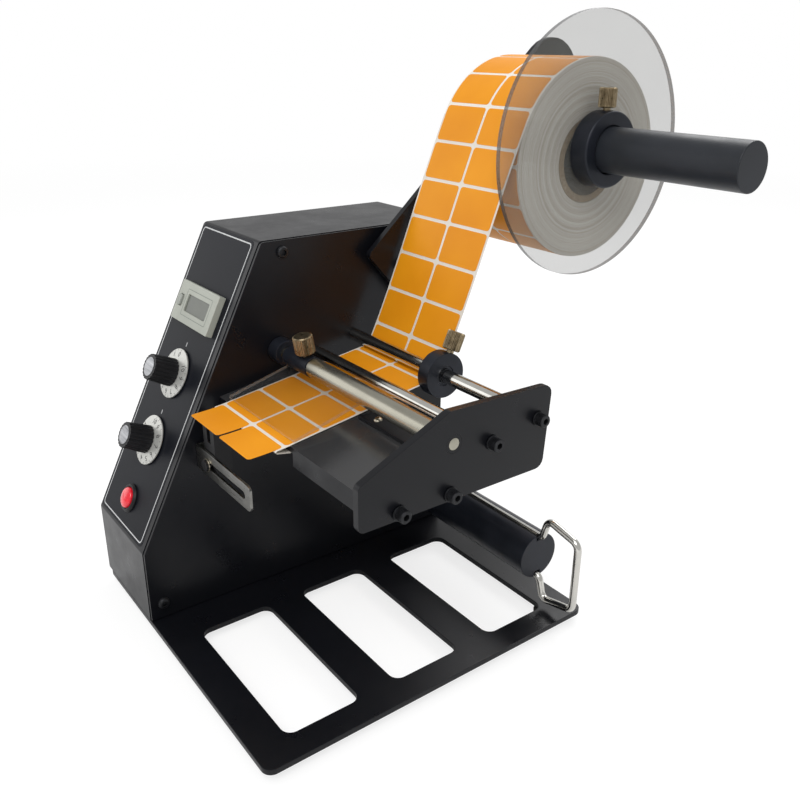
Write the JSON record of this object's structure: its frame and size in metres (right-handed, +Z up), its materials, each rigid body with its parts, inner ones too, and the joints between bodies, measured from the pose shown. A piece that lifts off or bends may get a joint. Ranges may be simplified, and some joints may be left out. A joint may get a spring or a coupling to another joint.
{
  "type": "label dispenser machine",
  "caption": "Desktop label dispenser: sloped control box on a windowed base, peel platform with clear cover and guide rods, roll spindle with clear disc on an arm, and a take-up spindle.",
  "frame": {"origin": "centre of the footprint at the underside of the rubber feet", "axes": "+X to the right along the spindles and rods, +Y from the front to the back, +Z up"},
  "size_m": [0.258, 0.3306, 0.348],
  "materials": {
    "black_paint": "glossy black paint",
    "black_anodised": "black anodised, satin",
    "black_plastic": "moulded, satin",
    "grey_plastic": "turned, satin",
    "rubber": "matt",
    "chrome": "polished plating",
    "nickel": "knurled, nickel plated",
    "steel": "plain zinc plated",
    "dial_silver": "satin, graduated",
    "black_screw": "blackened",
    "cream_plastic": "moulded, fine grain",
    "red_lens": "glossy tinted",
    "green_board": "lacquered board",
    "clear_acrylic": "clear polished sheet",
    "board_paper": "wound board tube",
    "liner_paper": "smooth release liner",
    "orange_label": "smooth orange labels"
  },
  "bodies": {
    "machine": {"base_plate": "black_paint", "foot_front_left": "rubber", "foot_front_right": "rubber", "foot_rear_left": "rubber", "foot_rear_right": "rubber", "box_shell": "black_paint", "side_panel": "black_paint", "side_screw_front_low": "black_screw", "side_screw_front_high": "black_screw", "side_screw_rear_low": "black_screw", "side_screw_rear_high": "black_screw", "counter_body": "cream_plastic", "lamp_bezel": "black_plastic", "lamp_lens": "red_lens", "control_board": "green_board", "power_inlet": "black_plastic", "drive_motor": "steel", "drive_belt": "rubber", "take_up_belt": "rubber", "peel_platform": "black_paint", "web_edge_guide": "black_paint", "middle_rod": "chrome", "rear_rod": "chrome", "front_bar": "chrome", "bar_boss": "black_anodised", "outer_plate": "black_paint", "plate_screw_rear": "black_screw", "plate_screw_middle": "black_screw", "plate_screw_low_rear": "black_screw", "plate_screw_low_front": "black_screw", "roll_arm": "black_paint", "arm_stud_low": "black_screw", "arm_stud_high": "black_screw", "roll_spindle": "grey_plastic", "label_strip": "liner_paper", "sensor_bracket": "steel"},
    "reset": {"reset_button": "grey_plastic"},
    "length_control": {"length_dial": "dial_silver", "length_knob": "black_plastic"},
    "speed_control": {"speed_dial": "dial_silver", "speed_knob": "black_plastic"},
    "power_switch": {"power_rocker": "black_plastic"},
    "feed_drive": {"feed_roller": "rubber", "drive_pulley": "black_plastic"},
    "pinch": {"pinch_roller": "steel"},
    "motor_drive": {"motor_pulley": "black_plastic"},
    "take_up": {"take_up_spindle": "black_anodised", "take_up_pulley": "black_plastic"},
    "clip": {"take_up_clip": "chrome"},
    "label_supply": {"roll_core": "board_paper", "label_roll": "orange_label"},
    "roll_guide": {"clear_disc": "clear_acrylic", "hub_collar": "black_anodised"},
    "hub_lock": {"hub_thumbscrew": "nickel"},
    "web_guide": {"guide_collar": "black_anodised"},
    "guide_lock": {"guide_thumbscrew": "nickel"},
    "cover": {"cover_hub": "black_anodised", "clear_cover": "clear_acrylic"},
    "cover_lock": {"cover_thumbscrew": "nickel"},
    "sensor": {"label_sensor": "black_plastic"}
  },
  "joints": [
    {"name": "reset_press", "type": "slide", "parent": "machine", "child": "reset", "axis": [0, 0.8936, -0.4489], "range_m": [0, 0.0012], "stiffness_N_per_m": 300, "springref_m": -0.0005},
    {"name": "length_turn", "type": "hinge", "parent": "machine", "child": "length_control", "pos_m": [-0.09525, -0.11982, 0.14563], "axis": [0, -0.8936, 0.4489], "range_deg": [-300, 0]},
    {"name": "speed_turn", "type": "hinge", "parent": "machine", "child": "speed_control", "pos_m": [-0.09525, -0.13926, 0.10694], "axis": [0, -0.8936, 0.4489], "range_deg": [0, 300]},
    {"name": "power_rock", "type": "hinge", "parent": "machine", "child": "power_switch", "pos_m": [-0.0925, 0.05725, 0.0603], "axis": [1, 0, 0], "range_deg": [0, 16]},
    {"name": "take_up_turn", "type": "hinge", "parent": "machine", "child": "take_up", "pos_m": [0, 0.03585, 0.0415], "axis": [1, 0, 0], "continuous": true},
    {"name": "feed_turn", "type": "hinge", "parent": "machine", "child": "feed_drive", "pos_m": [0, -0.08925, 0.1333], "axis": [1, 0, 0], "continuous": true},
    {"name": "pinch_turn", "type": "hinge", "parent": "machine", "child": "pinch", "pos_m": [0, -0.07525, 0.1333], "axis": [1, 0, 0], "continuous": true},
    {"name": "motor_turn", "type": "hinge", "parent": "machine", "child": "motor_drive", "pos_m": [0, -0.04325, 0.0848], "axis": [1, 0, 0], "continuous": true},
    {"name": "clip_pull", "type": "slide", "parent": "take_up", "child": "clip", "axis": [1, 0, 0], "range_m": [0, 0.115]},
    {"name": "supply_turn", "type": "hinge", "parent": "machine", "child": "label_supply", "pos_m": [0, 0.09225, 0.268], "axis": [1, 0, 0], "continuous": true},
    {"name": "roll_guide_slide", "type": "slide", "parent": "machine", "child": "roll_guide", "axis": [1, 0, 0], "range_m": [0, 0.085]},
    {"name": "hub_lock_turn", "type": "hinge", "parent": "roll_guide", "child": "hub_lock", "pos_m": [0.03495, 0.09225, 0.275], "axis": [0, 0, 1], "range_deg": [0, 360]},
    {"name": "web_guide_slide", "type": "slide", "parent": "machine", "child": "web_guide", "axis": [1, 0, 0], "range_m": [0, 0.063]},
    {"name": "guide_lock_turn", "type": "hinge", "parent": "web_guide", "child": "guide_lock", "pos_m": [0.0307, -0.01805, 0.16181], "axis": [0, 0.4067, 0.9135], "range_deg": [0, 360]},
    {"name": "cover_lift", "type": "hinge", "parent": "machine", "child": "cover", "pos_m": [0, -0.07095, 0.16264], "axis": [-1, 0, 0], "range_deg": [0, 40]},
    {"name": "cover_lock_turn", "type": "hinge", "parent": "cover", "child": "cover_lock", "pos_m": [-0.023, -0.07095, 0.16264], "axis": [0, -0.1736, 0.9848], "range_deg": [0, 360]},
    {"name": "sensor_slide", "type": "slide", "parent": "machine", "child": "sensor", "axis": [1, 0, 0], "range_m": [-0.0015, 0.04]}
  ],
  "couplings": [
    {"joint": "feed_turn", "follows": "take_up_turn", "ratio": 0.90476},
    {"joint": "pinch_turn", "follows": "take_up_turn", "ratio": -1.4476},
    {"joint": "motor_turn", "follows": "take_up_turn", "ratio": 1.3571}
  ]
}
